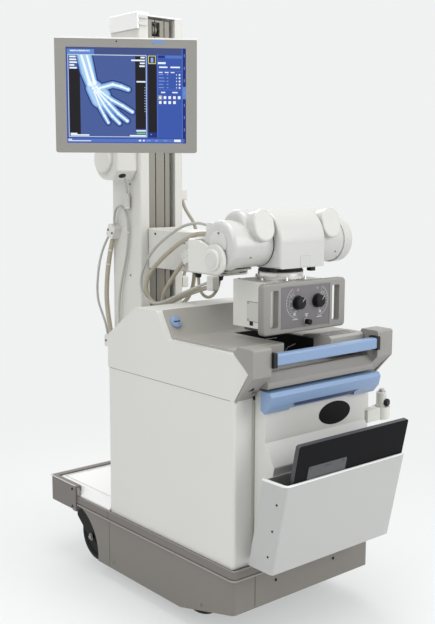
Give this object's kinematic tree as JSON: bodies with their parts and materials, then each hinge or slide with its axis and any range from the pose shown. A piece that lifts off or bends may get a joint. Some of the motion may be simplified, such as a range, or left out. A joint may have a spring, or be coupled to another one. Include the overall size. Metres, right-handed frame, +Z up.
{
  "type": "mobile x-ray machine",
  "caption": "Mobile x-ray machine: wheeled base and cabinet, turning column with lift and telescopic arm, tilting tube head with collimator, monitor and rear cassette bin.",
  "frame": {"origin": "on the floor below the middle of the base", "axes": "+Z up, +X to the right as the operator looks towards the column, +Y from the operator end towards the column"},
  "size_m": [0.9466, 1.2869, 2.052],
  "materials": {
    "cover_white": "satin",
    "shell_white": "gloss",
    "grey_moulding": "satin",
    "strip_grey": "matte",
    "skirt_grey": "satin",
    "handle_blue": "satin",
    "black_plastic": "matte",
    "platform_white": "satin",
    "tyre_black": "matte",
    "steel": "brushed",
    "rail_beige": "anodised",
    "cable_beige": "satin",
    "cable_grey": "satin",
    "clamp_white": "satin",
    "pack_dark": "matte",
    "bezel_grey": "satin",
    "screen_glass": "gloss",
    "frame_steel": "satin",
    "core_white": "satin"
  },
  "bodies": {
    "base": {"chassis_frame": "frame_steel", "skirt": "skirt_grey", "bumper_strip": "strip_grey", "front_bumper": "strip_grey", "platform": "platform_white", "drive_unit": "frame_steel", "side_panel_left": "cover_white", "side_panel_right": "cover_white", "front_panel": "cover_white", "power_pack": "pack_dark", "top_cover": "cover_white", "top_panel": "grey_moulding", "well_tray": "black_plastic", "console": "grey_moulding", "cross_member": "grey_moulding", "handle_brackets": "grey_moulding", "upper_handle": "handle_blue", "handle_fittings": "black_plastic", "door_hinge": "steel", "switch_holder": "clamp_white"},
    "drive_left": {"drive_wheel_left": "tyre_black"},
    "drive_right": {"drive_wheel_right": "tyre_black"},
    "caster_left": {"caster_fork_left": "steel"},
    "caster_right": {"caster_fork_right": "steel"},
    "caster_roll_left": {"caster_wheel_left": "tyre_black"},
    "caster_roll_right": {"caster_wheel_right": "tyre_black"},
    "door": {"door_panel": "cover_white", "door_pull": "handle_blue", "bin_box": "cover_white", "detector": "black_plastic"},
    "column": {"column_mast": "core_white", "column_rail": "rail_beige", "column_cap": "shell_white", "hub_drum": "core_white", "monitor_link": "core_white", "column_clamps": "clamp_white", "cable_column_thick": "cable_beige", "cable_column_thin": "cable_grey", "cable_column_pair": "cable_grey", "cable_column_back": "cable_beige", "cable_hub": "cable_grey"},
    "lift": {"carriage": "core_white", "arm_outer": "core_white", "arm_clamps": "clamp_white", "cable_loop_thick": "cable_beige", "cable_loop_thin": "cable_grey", "cable_sleeve": "cable_beige", "cable_hanging": "cable_beige"},
    "arm_stage_two": {"arm_middle": "core_white"},
    "arm_stage_three": {"arm_inner": "core_white", "yoke": "shell_white"},
    "head": {"head_centre": "shell_white", "head_drum_left": "shell_white", "head_drum_right": "shell_white"},
    "collimator": {"collimator_box": "core_white", "collimator_face": "grey_moulding", "collimator_knobs": "black_plastic"},
    "monitor_arm": {"monitor_swivel": "steel"},
    "monitor": {"monitor_case": "bezel_grey", "monitor_screen": "screen_glass"}
  },
  "joints": [
    {"name": "drive_left_spin", "type": "hinge", "parent": "base", "child": "drive_left", "pos_m": [-0.215, -0.255, 0.127], "axis": [1, 0, 0], "continuous": true},
    {"name": "drive_right_spin", "type": "hinge", "parent": "base", "child": "drive_right", "pos_m": [0.215, -0.255, 0.127], "axis": [1, 0, 0], "continuous": true},
    {"name": "caster_left_swivel", "type": "hinge", "parent": "base", "child": "caster_left", "pos_m": [-0.235, 0.392, 0.22], "axis": [0, 0, 1], "continuous": true},
    {"name": "caster_left_spin", "type": "hinge", "parent": "caster_left", "child": "caster_roll_left", "pos_m": [-0.235, 0.332, 0.102], "axis": [1, 0, 0], "continuous": true},
    {"name": "caster_right_swivel", "type": "hinge", "parent": "base", "child": "caster_right", "pos_m": [0.235, 0.392, 0.22], "axis": [0, 0, 1], "continuous": true},
    {"name": "caster_right_spin", "type": "hinge", "parent": "caster_right", "child": "caster_roll_right", "pos_m": [0.235, 0.332, 0.102], "axis": [1, 0, 0], "continuous": true},
    {"name": "door_swing", "type": "hinge", "parent": "base", "child": "door", "pos_m": [0, -0.545, 0.292], "axis": [1, 0, 0], "range_deg": [0, 30]},
    {"name": "column_turn", "type": "hinge", "parent": "base", "child": "column", "pos_m": [0, 0.327, 0.317], "axis": [0, 0, 1], "range_deg": [-135, 135]},
    {"name": "arm_lift", "type": "slide", "parent": "column", "child": "lift", "axis": [0, 0, 1], "range_m": [0, 0.7]},
    {"name": "arm_extend", "type": "slide", "parent": "lift", "child": "arm_stage_two", "axis": [0, -1, 0], "range_m": [0, 0.2]},
    {"name": "arm_extend_inner", "type": "slide", "parent": "arm_stage_two", "child": "arm_stage_three", "axis": [0, -1, 0], "range_m": [0, 0.2]},
    {"name": "head_tilt", "type": "hinge", "parent": "arm_stage_three", "child": "head", "pos_m": [0, -0.403, 1.218], "axis": [-1, 0, 0], "range_deg": [0, 90]},
    {"name": "collimator_turn", "type": "hinge", "parent": "head", "child": "collimator", "pos_m": [0, -0.406, 1.15], "axis": [0, 0, 1], "range_deg": [-45, 45]},
    {"name": "monitor_turn", "type": "hinge", "parent": "column", "child": "monitor_arm", "pos_m": [-0.3244, -0.00581, 1.723], "axis": [0, 0, 1], "range_deg": [-25, 25]},
    {"name": "monitor_tilt", "type": "hinge", "parent": "monitor_arm", "child": "monitor", "pos_m": [-0.34484, -0.03544, 1.723], "axis": [0.8231, -0.5678, 0], "range_deg": [-10, 20]}
  ],
  "couplings": [
    {"joint": "arm_extend_inner", "follows": "arm_extend", "ratio": 1}
  ]
}
